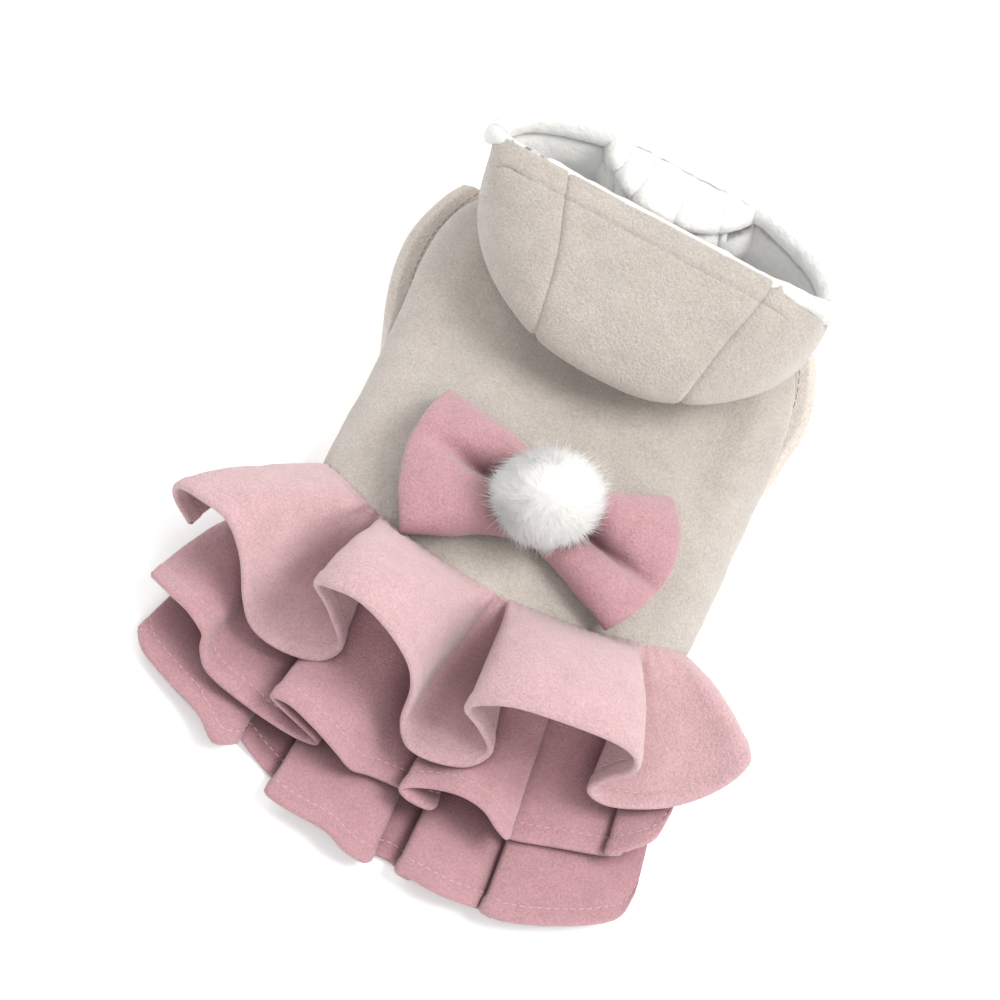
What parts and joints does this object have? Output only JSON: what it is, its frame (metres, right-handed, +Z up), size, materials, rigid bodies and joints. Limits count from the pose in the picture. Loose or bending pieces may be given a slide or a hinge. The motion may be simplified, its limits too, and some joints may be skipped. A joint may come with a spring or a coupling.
{
  "type": "dog dress",
  "caption": "Small dog's hooded wool bodice with fleece lining, layered ruffle skirt over the back, a pinched bow and a round fur pompom, lying belly down.",
  "frame": {"origin": "centre of the bounding box in plan, on the floor that the belly panel lies on", "axes": "+Z up from the floor, +Y along the back from the skirt's hem to the hood, +X to the left side of the dog that would wear it"},
  "size_m": [0.2262, 0.2736, 0.097],
  "materials": {
    "back_wool": "matte felted wool",
    "belly_wool": "matte felted wool",
    "hood_wool_left": "matte felted wool",
    "hood_wool_centre": "matte felted wool",
    "hood_wool_right": "matte felted wool",
    "fleece": "soft short fleece",
    "pink_wool_top": "matte felted wool",
    "pink_wool_middle": "matte felted wool",
    "pink_wool_bottom": "matte felted wool",
    "pink_wool_bow": "matte felted wool",
    "fur": "long soft fur"
  },
  "bodies": {
    "root": {"back_panel": "back_wool", "belly_panel": "belly_wool", "hood_panel_left": "hood_wool_left", "hood_panel_centre": "hood_wool_centre", "hood_panel_right": "hood_wool_right", "hood_lining": "fleece", "skirt_tier_1": "pink_wool_top", "skirt_tier_2": "pink_wool_middle", "skirt_tier_3": "pink_wool_bottom", "bow": "pink_wool_bow", "pompom": "fur"}
  },
  "joints": []
}
